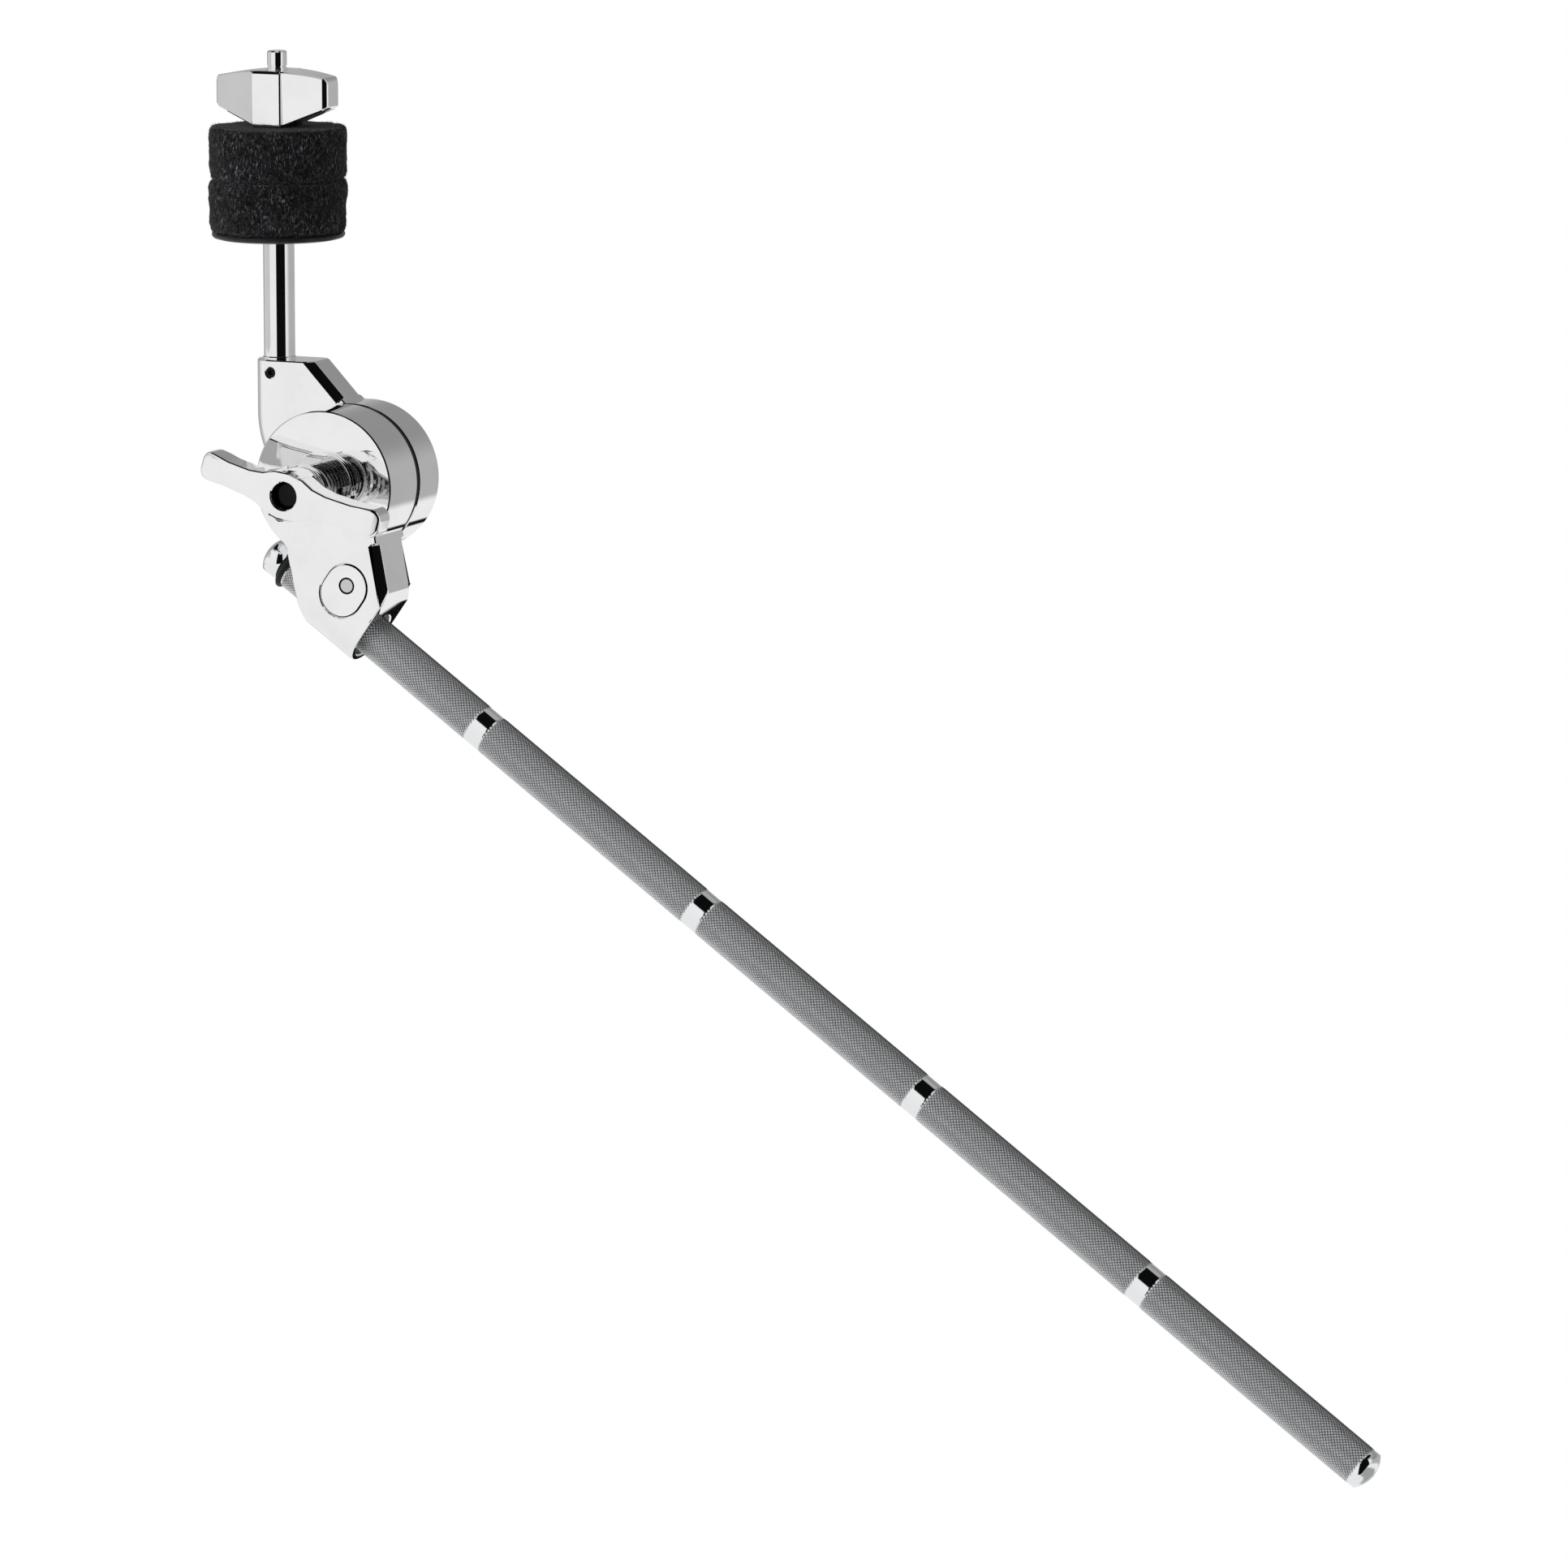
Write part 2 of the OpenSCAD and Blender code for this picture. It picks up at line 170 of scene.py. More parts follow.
def polished_metal(name, colour, roughness, ripple, scratches, edge=0.08 * MM):
    """Plated metal: smudged gloss, faint ripple, hairline scratches and softened edges."""
    material, n, place = new_material(name)
    smudge = n.noise(place, 90.0, 4.0, 0.6)
    speck = n.noise(place, 1500.0, 2.0)
    stretched = n.add("Mapping", Vector=place, Scale=(2500.0, 2500.0, 60.0)).outputs[0]
    hair = n.noise(stretched, 1.0, 2.0, 0.7)
    colour_out = n.mix(n.ramp(smudge, 0.35, 0.75), tint(colour, 1.0), tint(colour, 0.95))
    base_rough = n.ramp(smudge, 0.3, 0.8, roughness, roughness * 1.9)
    hair_mark = n.math("MULTIPLY", n.ramp(hair, 0.66, 0.8), scratches)
    rough_out = n.math("ADD", base_rough, hair_mark)
    broad = n.add("Bump", Strength=ripple, Distance=0.4 * MM, Height=n.noise(place, 45.0, 1.0),
                  Normal=n.softened(edge))
    fine = n.add("Bump", Strength=ripple * 0.5, Distance=0.01 * MM, Height=speck,
                 Normal=broad.outputs[0])
    shader = n.add("BsdfPrincipled", Metallic=1.0, Roughness=rough_out, Normal=fine.outputs[0])
    n.tree.links.new(colour_out, shader.inputs["Base Color"])
    finish_material(n, shader)
    return material


def shadowed_edge(n, place):
    """How much the knurl's points shade each other: most along the upper outline of the rod."""

    def vector(operation, *values, output="Vector", **more):
        inputs = {"i" + str(k): v for k, v in enumerate(values)}
        return n.add("VectorMath", operation=operation, **inputs, **more).outputs[output]

    axis = tuple(ROD_AXIS)
    along = vector("SCALE", axis, Scale=vector("DOT_PRODUCT", place, axis, output="Value"))
    outward = vector("SUBTRACT", vector("SUBTRACT", place, along), tuple(ROD_CENTRE))
    turned = n.add("VectorTransform", vector_type="VECTOR", convert_from="OBJECT",
                   convert_to="WORLD", i0=outward)
    outward = vector("NORMALIZE", turned.outputs[0])
    towards = vector("DOT_PRODUCT", outward, n.add("NewGeometry").outputs["Incoming"], output="Value")
    height = n.add("SeparateXYZ", i0=outward).outputs[2]
    return n.math("MULTIPLY", n.ramp(towards, 0.99, 0.12), n.ramp(height, 0.05, 0.4))


def knurled_metal(name, colour):
    """Satin plate on the knurl: painted shade in the grooves, brighter worn points, polished bands, and
    painted shade along the rod's upper outline.
    """
    material, n, place = new_material(name)
    painted_groove_shade = n.add("Attribute", attribute_name="groove").outputs["Fac"]
    band = n.add("Attribute", attribute_name="polished").outputs["Fac"]
    cloud = n.noise(place, 60.0, 3.0, 0.6)
    speck = n.noise(place, 1900.0, 2.0)
    worn = n.mix(n.ramp(cloud, 0.3, 0.75), tint(colour, 1.78), tint(colour, 1.7))
    # Painted shade: the knurl's roots are darkened in colour.
    grooved = n.mix(n.math("MULTIPLY", painted_groove_shade, 0.9), worn, tint(colour, 0.25))
    # Painted shade along the rod's upper outline, darkest where the view grazes it.
    grooved = n.mix(shadowed_edge(n, place), grooved, tint(colour, 0.14))
    colour_out = n.mix(band, grooved, tint((0.86, 0.87, 0.88)))
    satin = n.ramp(cloud, 0.3, 0.8, 0.17, 0.26)
    keep = n.math("SUBTRACT", 1.0, band)
    rough_out = n.math("ADD", n.math("MULTIPLY", satin, keep), 0.045)
    fine = n.add("Bump", Strength=0.12, Distance=0.02 * MM, Height=speck)
    metal = n.ramp(band, 0.0, 1.0, 0.3, 1.0)
    shader = n.add("BsdfPrincipled", Metallic=metal, Roughness=rough_out, Normal=fine.outputs[0])
    n.tree.links.new(colour_out, shader.inputs["Base Color"])
    finish_material(n, shader)
    return material


def moulded(name, colour, roughness, grain, coat=0.0):
    """Rubber, nylon or lining: fine grain, slight dust and worn gloss."""
    material, n, place = new_material(name)
    cloud = n.noise(place, 140.0, 4.0, 0.6)
    grains = n.noise(place, 2600.0, 2.0)
    dust = n.mix(n.ramp(cloud, 0.45, 0.85), tint(colour), tint(colour, 1.9))
    rough_out = n.ramp(cloud, 0.25, 0.8, roughness * 0.8, roughness * 1.15)
    bump = n.add("Bump", Strength=grain, Distance=0.03 * MM, Height=grains,
                 Normal=n.softened(0.2 * MM))
    shader = n.add("BsdfPrincipled", Roughness=rough_out, Normal=bump.outputs[0])
    shader.inputs["Coat Weight"].default_value = coat
    shader.inputs["Specular IOR Level"].default_value = 0.22
    n.tree.links.new(dust, shader.inputs["Base Color"])
    finish_material(n, shader)
    return material


def black_plate(name, colour):
    """Glossy black oxide on the seat washer and the set screw."""
    material, n, place = new_material(name)
    cloud = n.noise(place, 110.0, 3.0, 0.6)
    speck = n.noise(place, 1800.0, 2.0)
    colour_out = n.mix(n.ramp(cloud, 0.4, 0.8), tint(colour, 0.08), tint(colour, 0.25))
    bump = n.add("Bump", Strength=0.08, Distance=0.02 * MM, Height=speck,
                 Normal=n.softened(0.25 * MM))
    rough_out = n.ramp(cloud, 0.3, 0.8, 0.12, 0.22)
    shader = n.add("BsdfPrincipled", Roughness=rough_out, Normal=bump.outputs[0])
    shader.inputs["Specular IOR Level"].default_value = 0.09
    n.tree.links.new(colour_out, shader.inputs["Base Color"])
    finish_material(n, shader)
    return material


def wool_felt(name, colour):
    """Pressed wool: a near-black mat with pale flecks, paler loose fibres and a faint sheen."""
    material, n, place = new_material(name)
    tangle = n.noise(place, 900.0, 6.0, 0.7)
    drawn = n.add("Mapping", Vector=place, Scale=(2400.0, 2400.0, 620.0)).outputs[0]
    strands = n.noise(drawn, 1.0, 3.0, 0.65)
    cloud = n.noise(place, 150.0, 3.0)
    fibre = n.add("Attribute", attribute_name="fibre").outputs["Fac"]
    mat_colour = n.mix(n.ramp(tangle, 0.4, 0.66), tint(colour, 0.05), tint(colour, 0.4))
    flecked = n.mix(n.ramp(strands, 0.53, 0.7), mat_colour, tint(colour, 3.4))
    shaded = n.mix(n.ramp(cloud, 0.35, 0.7), flecked, mat_colour)
    colour_out = n.mix(fibre, shaded, tint(colour, 8.5))
    rough = n.add("Bump", Strength=0.9, Distance=0.25 * MM, Height=tangle)
    shader = n.add("BsdfPrincipled", Roughness=0.95, Normal=rough.outputs[0])
    shader.inputs["Specular IOR Level"].default_value = 0.12
    shader.inputs["Sheen Weight"].default_value = 0.05
    shader.inputs["Sheen Roughness"].default_value = 0.5
    n.tree.links.new(colour_out, shader.inputs["Base Color"])
    finish_material(n, shader)
    return material


# The rod's axis runs along the slide joint and through the middle of its mesh.
SLIDE = next(j for j in frame["joints"] if j["name"] == "boom_slide")
ROD_AXIS = Vector(SLIDE["axis"]).normalized()
ROD_MIDDLE = sum(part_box("boom_rod"), Vector()) / 2
ROD_CENTRE = ROD_MIDDLE - ROD_AXIS * ROD_MIDDLE.dot(ROD_AXIS)

RUBBER = [c * 0.35 for c in COLOUR_OF["black_rubber"]]
NYLON = [c * 0.3 for c in COLOUR_OF["black_nylon"]]
ZINC = COLOUR_OF["zinc_steel"]

# One material for each slot of the record.
MATERIALS = {
    "knurled_steel": knurled_metal("knurled_steel", COLOUR_OF["knurled_steel"]),
    "chrome_casting": polished_metal("chrome_casting", (0.9, 0.9, 0.903), 0.03, 0.05, 0.05),
    "chrome_steel": polished_metal("chrome_steel", (0.89, 0.89, 0.893), 0.03, 0.02, 0.05),
    "zinc_steel": polished_metal("zinc_steel", ZINC, 0.11, 0.05, 0.1),
    "blackened_steel": black_plate("blackened_steel", COLOUR_OF["blackened_steel"]),
    "black_rubber": moulded("black_rubber", RUBBER, 0.5, 0.3),
    "black_nylon": moulded("black_nylon", NYLON, 0.34, 0.16, 0.03),
    "friction_lining": moulded("friction_lining", COLOUR_OF["friction_lining"], 0.8, 0.6),
    "charcoal_felt": wool_felt("charcoal_felt", COLOUR_OF["charcoal_felt"]),
}


# ---------------------------------------------------------------- pieces


def new_piece(name, mesh, node):
    """Puts a finished mesh in the scene in place of one CAD node."""
    piece = bpy.data.objects.new(name, mesh)
    bpy.context.scene.collection.objects.link(piece)
    mesh.materials.clear()
    mesh.materials.append(MATERIALS[SLOT_OF[node]])
    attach(piece, BODY_OF[node])
    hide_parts(node)
    return piece


def mesh_from(name, points, faces, smooth):
    mesh = bpy.data.meshes.new(name)
    mesh.from_pydata([tuple(p) for p in points], [], faces)
    mesh.validate()
    mesh.polygons.foreach_set("use_smooth", [smooth] * len(mesh.polygons))
    mesh.update()
    return mesh


def add_attribute(mesh, name, values):
    attribute = mesh.attributes.new(name, "FLOAT", "POINT")
    attribute.data.foreach_set("value", np.asarray(values, np.float32))


# The rod: rings of points from its upper end down, one for each row of the knurl, with a few
# more for the domed ends, the stop ring's groove and the polished bands.
ROD_SIDE = Vector((0.0, 1.0, 0.0))
ROD_UP = ROD_AXIS.cross(ROD_SIDE)
ROD_REACH = [Vector(v.co).dot(ROD_AXIS) for v in NODES["boom_rod"].data.vertices]
ROD_START = min(ROD_REACH)
ROD_LENGTH = max(ROD_REACH) - ROD_START
KNURL_COLUMNS = 68
KNURL_ROW = 0.6 * MM
KNURL_TOP = 6.35 * MM
KNURL_ROOT = 5.94 * MM
BAND_RADIUS = 6.15 * MM
TAIL_RADIUS = 5.95 * MM
GROOVE_RADIUS = 5.9 * MM
RING_START = 8.1 * MM
RING_WIDTH = 1.8 * MM
SECTIONS = 5
BAND_LENGTH = 5.0 * MM
BAND_INSET = 0.3 * MM  # an extra ring this far inside each end of a band keeps its shading even
END_BAND = 4.5 * MM
DOME = 2.3 * MM
DOME_STEPS = 8


def rod_rings():
    """(place along the rod, apex radius, root radius, polished) of each ring of points."""

    def dome(tip, inward, radius):
        sphere = (radius**2 + DOME**2) / (2 * DOME)
        rings = []
        for i in range(DOME_STEPS + 1):
            r = radius * math.sin(math.pi / 2 * max(i, 0.15) / DOME_STEPS)
            rings.append((tip + inward * (sphere - math.sqrt(sphere**2 - r**2)), r, r, 1.0))
        return rings

    rings = dome(0.0, 1, TAIL_RADIUS)
    rings.append((RING_START, TAIL_RADIUS, TAIL_RADIUS, 1.0))
    rings.append((RING_START, GROOVE_RADIUS, GROOVE_RADIUS, 1.0))
    start = RING_START + RING_WIDTH
    rings.append((start, GROOVE_RADIUS, GROOVE_RADIUS, 1.0))
    section = ROD_LENGTH / SECTIONS
    for i in range(1, SECTIONS + 1):
        stop = i * section - BAND_LENGTH / 2 if i < SECTIONS else ROD_LENGTH - END_BAND
        rows = round((stop - start - 2 * KNURL_ROW) / KNURL_ROW)
        step = (stop - start - 2 * KNURL_ROW) / rows
        rings.append((start, BAND_RADIUS, BAND_RADIUS, 1.0))
        for k in range(rows + 1):
            fade = min(1.0, (k + 1) / 2, (rows - k + 1) / 2)
            top = BAND_RADIUS + (KNURL_TOP - BAND_RADIUS) * fade
            rings.append((start + KNURL_ROW + k * step, top, KNURL_ROOT, 0.0))
        rings += [(stop + inset, BAND_RADIUS, BAND_RADIUS, 1.0) for inset in (0.0, BAND_INSET)]
        start = stop + BAND_LENGTH
        if i < SECTIONS:
            rings.append((start - BAND_INSET, BAND_RADIUS, BAND_RADIUS, 1.0))
    rings += dome(ROD_LENGTH, -1, BAND_RADIUS)[::-1]
    return rings


def build_rod():
    rings = rod_rings()
    points, groove, polished, faces = [], [], [], []
    for i, (along, top, root, shine) in enumerate(rings):
        for k in range(KNURL_COLUMNS):
            low = (i + k) % 2 == 1
            r = root if low else top
            a = 2 * math.pi * k / KNURL_COLUMNS
            middle = ROD_AXIS * (ROD_START + along)
            points.append(middle + ROD_SIDE * (r * math.cos(a)) + ROD_UP * (r * math.sin(a)))
            # groove is 1 at the knurl's roots: the mask of the painted shade in the grooves.
            groove.append(float(low and shine < 0.5))
            polished.append(shine)
    for i in range(len(rings) - 1):
        for k in range(KNURL_COLUMNS):
            a = i * KNURL_COLUMNS + k
            b = i * KNURL_COLUMNS + (k + 1) % KNURL_COLUMNS
            c, d = b + KNURL_COLUMNS, a + KNURL_COLUMNS
            if rings[i][3] > 0.5 and rings[i + 1][3] > 0.5:
                faces.append((a, b, c, d))
            elif (i + k) % 2 == 1:
                faces += [(a, b, c), (a, c, d)]
            else:
                faces += [(a, b, d), (b, c, d)]
    last = len(points) - KNURL_COLUMNS
    faces.append(tuple(reversed(range(KNURL_COLUMNS))))
    faces.append(tuple(range(last, last + KNURL_COLUMNS)))
    mesh = mesh_from("rod", points, faces, False)
    add_attribute(mesh, "groove", groove)
    add_attribute(mesh, "polished", polished)
    smooth = [len(p.vertices) == 4 and all(polished[v] > 0.5 for v in p.vertices)
              for p in mesh.polygons]
    mesh.polygons.foreach_set("use_smooth", smooth)
    return new_piece("boom_rod_knurled", mesh, "boom_rod")


build_rod()


# The felts: pressed wool rings with soft rims, waves and loose fibres.
FELT_AROUND = 220
FELT_PROFILE = 64
FELT_FLAT = 8
FELT_HOLE = 4.75 * MM
FELT_CORNER = 0.13  # of the felt's height
FIBRES = 4200


def felt_outline(lo, hi, r_in, r_out):
    """Points (radius, height) round the section of a soft ring, starting at the inner bottom corner."""
    height = hi - lo
    corner = FELT_CORNER * height
    outline = [(r_in, lo)]
    for i in range(1, FELT_FLAT):
        outline.append((r_in + (r_out - corner - r_in) * i / FELT_FLAT, lo))
    side = FELT_PROFILE - 3 * FELT_FLAT
    for i in range(side + 1):
        a = math.pi * (i / side - 0.5)
        bulge = math.copysign(abs(math.sin(a)) ** 0.45, math.sin(a))
        reach = math.cos(a) ** 0.45 if i not in (0, side) else 0.0
        outline.append((r_out - corner + corner * reach, (lo + hi) / 2 + height / 2 * bulge))
    for i in range(FELT_FLAT - 1, 0, -1):
        outline.append((r_in + (r_out - corner - r_in) * i / FELT_FLAT, hi))
    outline.append((r_in, hi))
    for i in range(1, FELT_FLAT):
        outline.append((r_in, hi + (lo - hi) * i / FELT_FLAT))
    return outline


def build_felt(node, seed):
    lo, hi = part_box(node)
    centre = (lo + hi) / 2
    r_out = (hi.x - lo.x) / 2
    rng = random.Random(seed)
    outline = felt_outline(lo.z, hi.z, FELT_HOLE, r_out)
    count = len(outline)
    points, faces = [], []
    offset = Vector((seed * 3.1, seed * 1.7, 0.0))
    for k in range(FELT_AROUND):
        a = 2 * math.pi * k / FELT_AROUND
        out = Vector((math.cos(a), math.sin(a), 0.0))
        for r, z in outline:
            p = Vector((centre.x, centre.y, 0.0)) + out * r + Vector((0.0, 0.0, z))
            share = max(0.0, (r - 0.6 * r_out) / (0.4 * r_out))
            wave = noise.noise((p * 130) + offset) * 0.7 * MM
            lump = noise.noise((p * 480) + offset) * 0.34 * MM
            fuzz = noise.noise((p * 1500) + offset) * 0.22 * MM
            push = (wave + lump + fuzz - 0.25 * MM) * share
            lift = (noise.noise((p * 300) + offset * 2) - 0.35) * 0.35 * MM * share
            inward = 1 if z > centre.z else -1
            points.append(p + out * push + Vector((0.0, 0.0, inward * lift)))
    for k in range(FELT_AROUND):
        for i in range(count):
            a, b = k * count + i, k * count + (i + 1) % count
            following = (k + 1) % FELT_AROUND * count
            c, d = following + (i + 1) % count, following + i
            faces.append((a, d, c, b))
    fibre = [0.0] * len(points)
    add_fibres(points, faces, fibre, rng, centre, count, outline, r_out)
    mesh = mesh_from(node, points, faces, True)
    add_attribute(mesh, "fibre", fibre)
    return new_piece(node + "_wool", mesh, node)


def add_fibres(points, faces, fibre, rng, centre, count, outline, r_out):
    """Loose fibres: thin closed bent spikes rooted in the wool near the outer side."""
    rows = [i for i, (r, z) in enumerate(outline) if r > 0.8 * r_out]
    for _ in range(FIBRES):
        root = Vector(points[rng.randrange(FELT_AROUND) * count + rng.choice(rows)])
        out = Vector((root.x - centre.x, root.y - centre.y, 0.0)).normalized()
        side = Vector((-out.y, out.x, 0.0))
        up = Vector((0.0, 0.0, 1.0))
        lean = side * rng.uniform(-1, 1) + up * rng.uniform(-1, 1)
        lean = lean.normalized() if lean.length > 0.01 else side
        length = rng.uniform(0.35, 0.95) * MM
        start = root - out * 0.2 * MM
        middle = root + out * 0.12 * MM + lean * length * 0.5
        tip = root + out * rng.uniform(-0.05, 0.3) * MM + lean * length
        across = lean.cross(out).normalized()
        width = rng.uniform(0.02, 0.045) * MM
        base = len(points)
        for core, w in ((start, width), (middle, width * 0.8)):
            points.extend([core + across * w, core - across * w * 0.6 + out * w,
                           core - across * w * 0.6 - out * w])
        points.append(tip)
        faces.append((base, base + 2, base + 1))
        for i in range(3):
            j = (i + 1) % 3
            faces.append((base + i, base + j, base + 3 + j, base + 3 + i))
            faces.append((base + 3 + i, base + 3 + j, base + 6))
        pale = rng.random() ** 3
        fibre.extend([pale] * 7)


build_felt("lower_felt", 3)
build_felt("upper_felt", 8)


# These pieces keep their CAD shape, with their hard edges chamfered (1 step) or rounded.
# node: (width, steps)
ROUNDED = {
    "lower_tilter": (0.38 * MM, 1),
    "upper_tilter": (0.38 * MM, 1),
    "tilter_wing_nut": (0.9 * MM, 3),
    "post_wing_nut": (0.4 * MM, 1),
    "cotter_front": (0.2 * MM, 2),
    "cotter_back": (0.2 * MM, 2),
    "tilter_washer": (0.25 * MM, 2),
    "tilter_collar": (0.3 * MM, 2),
}
SHARP = math.radians(28)
FLAT = math.radians(0.6)
MERGE = 0.02 * MM
SLIVER = 0.01 * MM
STRAY = 0.03 * MM


def rounded_casting(node, width, steps):
    """A copy of a CAD node with its flat faces joined and its sharp edges bevelled.

    Points that the bevel throws outside the CAD surface are put back on it.
    """
    mesh = NODES[node].data.copy()
    mesh.name = node + "_cast"
    work = bmesh.new()
    work.from_mesh(mesh)
    bmesh.ops.remove_doubles(work, verts=work.verts, dist=MERGE)
    bmesh.ops.dissolve_limit(work, angle_limit=FLAT, verts=work.verts, edges=work.edges)
    bmesh.ops.dissolve_degenerate(work, dist=SLIVER, edges=work.edges)
    loose = [e for e in work.edges if not e.link_faces]
    bmesh.ops.delete(work, geom=loose, context="EDGES")
    surface = BVHTree.FromBMesh(work)
    edges = [e for e in work.edges
             if len(e.link_faces) == 2 and e.calc_face_angle(0.0) > SHARP]
    bmesh.ops.bevel(work, geom=edges, offset=width, offset_type="OFFSET", segments=steps,
                    profile=0.5, affect="EDGES", clamp_overlap=False, miter_outer="ARC")
    for vert in work.verts:
        nearest, normal, _, _ = surface.find_nearest(vert.co)
        if (vert.co - nearest).dot(normal) > STRAY:
            vert.co = nearest
    for face in work.faces:
        face.smooth = True
    work.to_mesh(mesh)
    work.free()
    for name in ("custom_normal", "sharp_edge", "sharp_face"):
        if name in mesh.attributes:
            mesh.attributes.remove(mesh.attributes[name])
    mesh.set_sharp_from_angle(angle=SHARP)
    piece = new_piece(node + "_cast", mesh, node)
    even = piece.modifiers.new("even_normals", "WEIGHTED_NORMAL")
    even.keep_sharp = True
    return piece


for node_name, (round_width, round_steps) in ROUNDED.items():
    rounded_casting(node_name, round_width, round_steps)

# The other pieces are the CAD nodes themselves.
for node_name, cad_object in NODES.items():
    if not cad_object.hide_render:
        cad_object.data.materials.clear()
        cad_object.data.materials.append(MATERIALS[SLOT_OF[node_name]])


# ---------------------------------------------------------------- studio

# Patches of the tent: azimuth from, to and softness, then height from, to and softness, in degrees.
LOW_PANEL = (82.0, 172.0, 4.0, -56.0, -29.0, 3.0)
RIGHT_CARD = (6.0, 73.0, 2.0, -34.0, 74.0, 2.0)
TOP_CARD = (-95.0, 128.0, 4.0, 50.0, 76.0, 3.0)

# The grey panel by the post, in metres and degrees.
PANEL_AWAY = 0.25
PANEL_DROP = 0.041
PANEL_SPAN = 46.0
PANEL_AZIMUTH = -66.0
PANEL_ABOVE_CASTING = 0.014
PANEL_ABOVE_NUT = 0.05
PANEL_GREY = 0.62

# name, azimuth, height, size and power
LAMPS = (("key", -35.0, 30.0, 1.2, 19.0), ("rim", 60.0, 20.0, 0.8, 5.0))
LAMP_DISTANCE = 2.0

FLOOR_HALF = 40.0
FLOOR_DROP = 0.35

CAMERA_AZIMUTH = 23.7
CAMERA_HEIGHT = 9.44
CAMERA_LENS = 206.46
CAMERA_PLACE = Vector((0.90197, -2.3973, 0.60092))


def smooth_band(n, value, low, high, soft):
    """1 between low and high, falling to 0 over soft on each side."""
    rise = n.ramp(value, low - soft, low + soft)
    fall = n.ramp(value, high - soft, high + soft, 1.0, 0.0)
    return n.math("MULTIPLY", rise, fall)


def patch(n, azimuth, height, edges):
    """1 inside a patch of the tent, 0 outside."""
    across = smooth_band(n, azimuth, *edges[:3])
    return n.math("MULTIPLY", across, smooth_band(n, height, *edges[3:]))


def build_world():
    """A studio tent for the chrome: pale front, grey back, ceiling and low panel, and dark cards.

    The camera itself sees plain white.
    """
    world = bpy.data.worlds.new("studio_tent")
    bpy.context.scene.world = world
    world.use_nodes = True
    n = Nodes(world.node_tree)
    split = n.add("SeparateXYZ", Vector=n.add("TexCoord").outputs["Generated"])
    x, y, z = split.outputs
    turn = n.math("ARCTAN2", x, n.math("MULTIPLY", y, -1.0))
    azimuth = n.math("MULTIPLY", turn, 180 / math.pi)
    height = n.math("MULTIPLY", n.math("ARCSINE", z), 180 / math.pi)
    apart = n.math("ABSOLUTE", azimuth)
    light = n.mix(n.ramp(height, -50.0, 40.0), grey(0.9), grey(0.95))
    rear = n.mix(n.ramp(height, 6.0, 24.0), grey(0.46), grey(0.3))
    behind = n.math("MULTIPLY", n.ramp(apart, 78.0, 112.0), n.ramp(height, -21.5, -17.0))
    light = n.mix(behind, light, rear)
    light = n.mix(n.ramp(height, 34.0, 70.0), light, grey(0.66))
    light = n.mix(patch(n, azimuth, height, LOW_PANEL), light, grey(0.38))
    ceiling = smooth_band(n, height, 44.0, 80.0, 5.0)
    light = n.mix(ceiling, light, grey(0.42))
    right_card = patch(n, azimuth, height, RIGHT_CARD)
    top_card = patch(n, azimuth, height, TOP_CARD)
    low_band = smooth_band(n, height, -45.0, -22.5, 1.0)
    low_card = n.math("MULTIPLY", n.ramp(apart, 176.5, 178.5), low_band)
    dark = n.math("MAXIMUM", n.math("MAXIMUM", right_card, top_card), low_card)
    light = n.mix(dark, light, grey(0.004))
    seen = n.add("Background", Color=grey(1.0), Strength=1.0)
    lit = n.add("Background", Strength=1.0)
    n.tree.links.new(light, lit.inputs["Color"])
    path = n.add("LightPath").outputs["Is Camera Ray"]
    both = n.add("MixShader", i0=path, i1=lit.outputs[0], i2=seen.outputs[0])
    n.add("OutputWorld", Surface=both.outputs[0])


def build_floor():
    """A plain pale floor, well below the arm."""
    half = FLOOR_HALF
    corners = [(-half, -half, 0), (half, -half, 0), (half, half, 0), (-half, half, 0)]
    mesh = mesh_from("floor", corners, [(0, 1, 2, 3)], False)
    floor = bpy.data.objects.new("floor", mesh)
    bpy.context.scene.collection.objects.link(floor)
    floor.location.z = cad_box[0].z - FLOOR_DROP
    material, n, place = new_material("pale_floor")
    cloud = n.noise(place, 3.0, 3.0)
    matt = n.add("BsdfPrincipled", Roughness=0.8)
    n.tree.links.new(n.mix(n.ramp(cloud, 0.3, 0.7), grey(0.88), grey(0.9)), matt.inputs["Base Color"])
    glow = n.add("Emission", Color=grey(1.0), Strength=1.0)
    path = n.add("LightPath").outputs["Is Camera Ray"]
    mixed = n.add("MixShader", i0=path, i1=matt.outputs[0], i2=glow.outputs[0])
    finish_material(n, mixed)
    mesh.materials.append(material)
    floor.visible_glossy = False


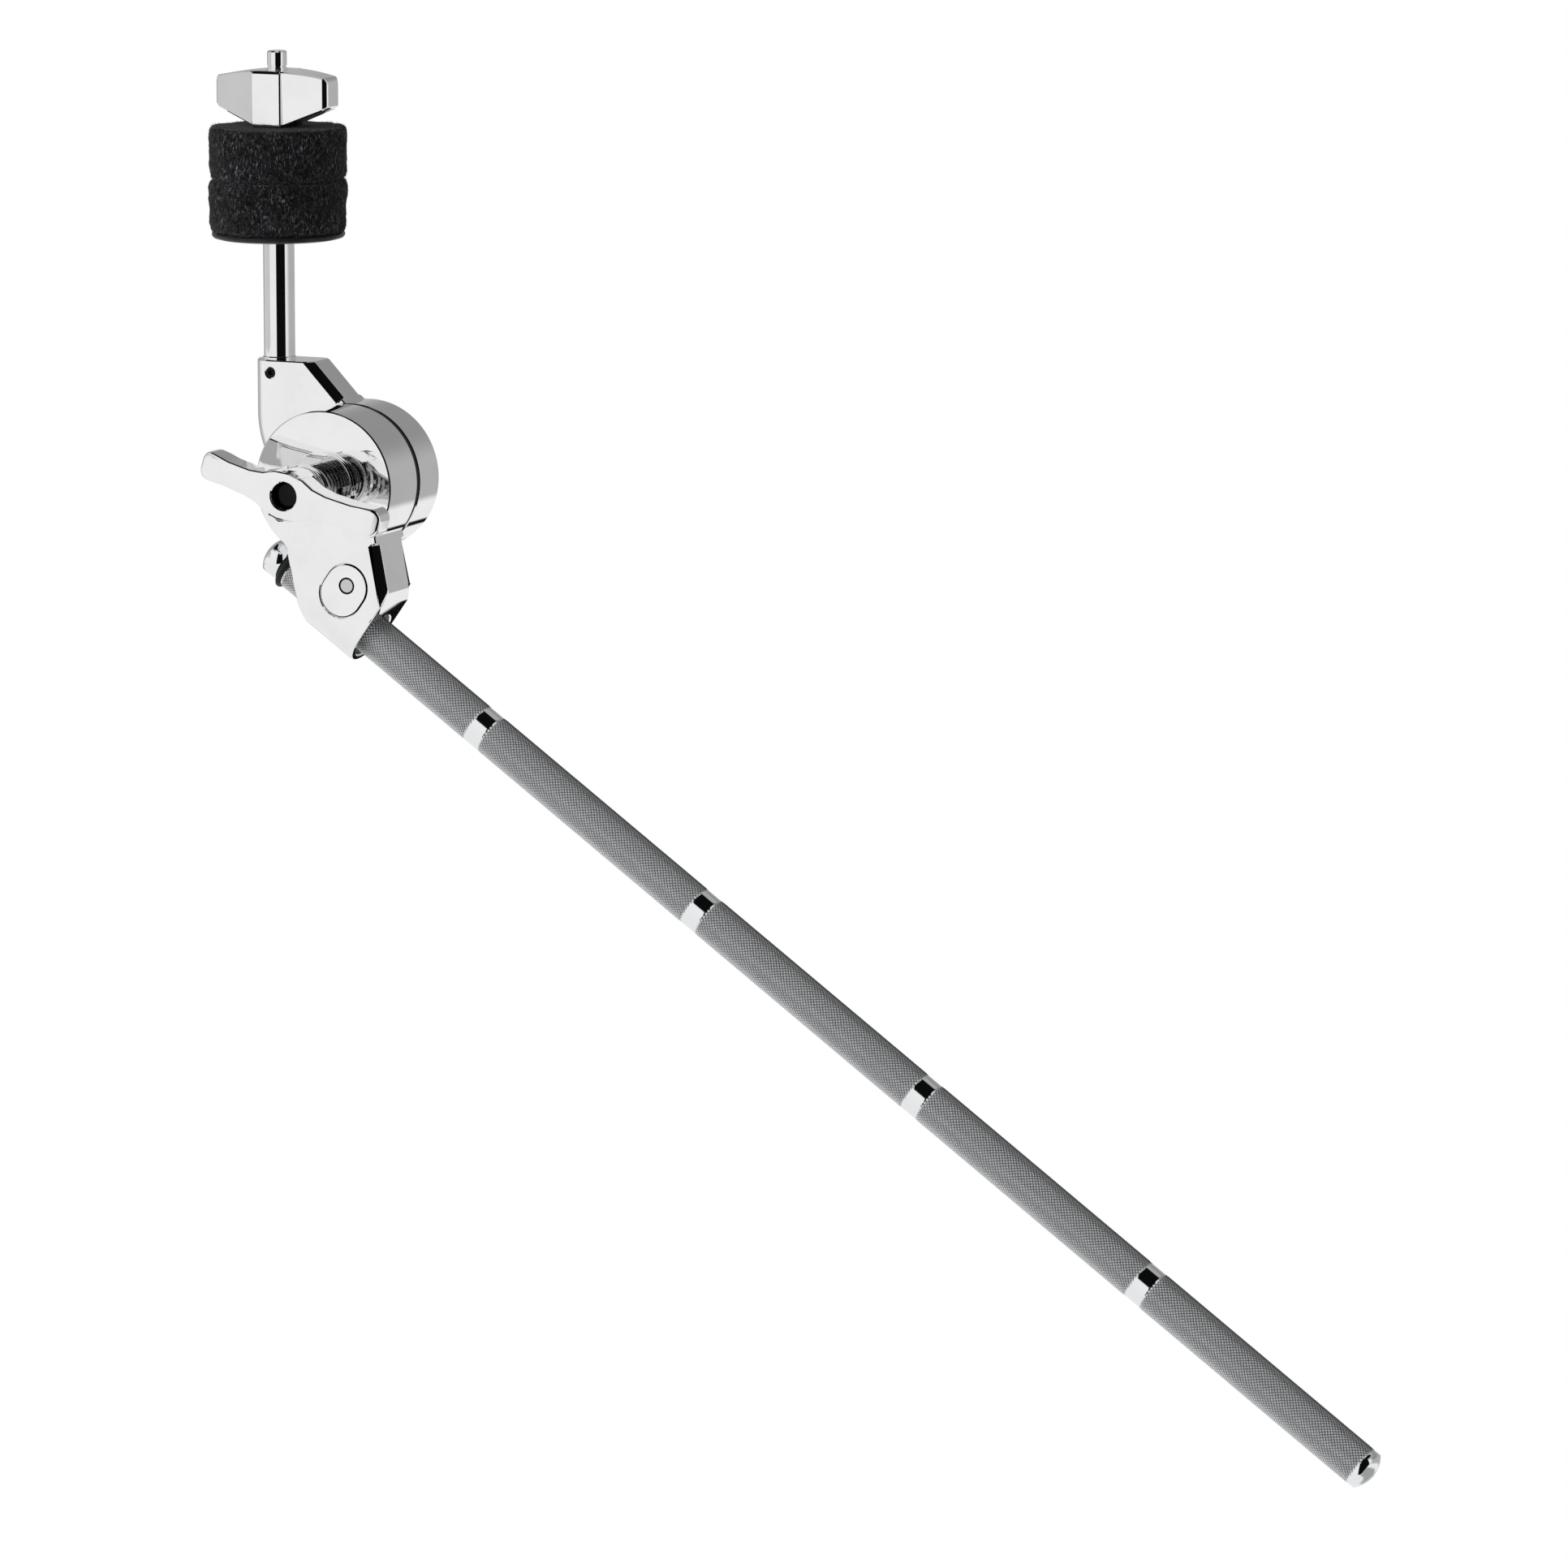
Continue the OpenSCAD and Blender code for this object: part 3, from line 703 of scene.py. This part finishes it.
def build_reflector():
    """A grey panel to the left of the post, seen only in reflections."""
    lo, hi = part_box("cymbal_post")
    middle = math.radians(PANEL_AZIMUTH)
    half = PANEL_AWAY * math.tan(math.radians(PANEL_SPAN / 2))
    out = Vector((math.sin(middle), -math.cos(middle), 0.0))
    side = Vector((out.y, -out.x, 0.0))
    centre = Vector(((lo.x + hi.x) / 2, (lo.y + hi.y) / 2, 0.0)) + out * PANEL_AWAY
    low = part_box("upper_tilter")[1].z - PANEL_DROP + PANEL_ABOVE_CASTING
    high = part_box("post_wing_nut")[1].z - PANEL_DROP + PANEL_ABOVE_NUT
    corners = ((-1, low), (1, low), (1, high), (-1, high))
    points = [centre + side * sx * half + Vector((0, 0, z)) for sx, z in corners]
    mesh = mesh_from("grey_panel", points, [(0, 1, 2, 3)], False)
    panel = bpy.data.objects.new("grey_panel", mesh)
    bpy.context.scene.collection.objects.link(panel)
    material, n, _ = new_material("grey_panel")
    finish_material(n, n.add("Emission", Color=grey(PANEL_GREY), Strength=1.0))
    mesh.materials.append(material)
    panel.visible_camera = False
    panel.visible_diffuse = False
    panel.visible_shadow = False


def direction(azimuth, height):
    """From the object to a light or the camera; azimuth 0 is the front."""
    flat = math.cos(height)
    return Vector((math.sin(azimuth) * flat, -math.cos(azimuth) * flat, math.sin(height)))


def build_lights():
    """A soft key light from the front left and a weaker one from the right, not mirrored."""
    centre = (cad_box[0] + cad_box[1]) / 2
    for name, azimuth, height, size, power in LAMPS:
        lamp = bpy.data.lights.new(name, "AREA")
        lamp.shape = "SQUARE"
        lamp.size = size
        lamp.energy = power
        holder = bpy.data.objects.new(name, lamp)
        bpy.context.scene.collection.objects.link(holder)
        a, e = math.radians(azimuth), math.radians(height)
        toward = direction(a, e)
        holder.location = centre + toward * LAMP_DISTANCE
        holder.rotation_mode = "QUATERNION"
        holder.rotation_quaternion = (-toward).to_track_quat("-Z", "Y")
        holder.visible_glossy = False
        holder.visible_camera = False


def build_camera():
    azimuth = math.radians(CAMERA_AZIMUTH)
    back = direction(azimuth, math.radians(CAMERA_HEIGHT))
    right = Vector((math.cos(azimuth), math.sin(azimuth), 0.0))
    up = back.cross(right)
    camera = bpy.data.objects.new("camera", bpy.data.cameras.new("camera"))
    bpy.context.scene.collection.objects.link(camera)
    camera.data.lens = CAMERA_LENS
    camera.data.sensor_width = 36.0
    camera.data.clip_start = 0.1
    camera.data.clip_end = 100.0
    turn = Matrix((right, up, back)).transposed().to_4x4()
    camera.matrix_world = Matrix.Translation(CAMERA_PLACE) @ turn
    bpy.context.scene.camera = camera


build_world()
build_floor()
build_reflector()
build_lights()
build_camera()
bpy.context.scene.view_settings.view_transform = "Standard"
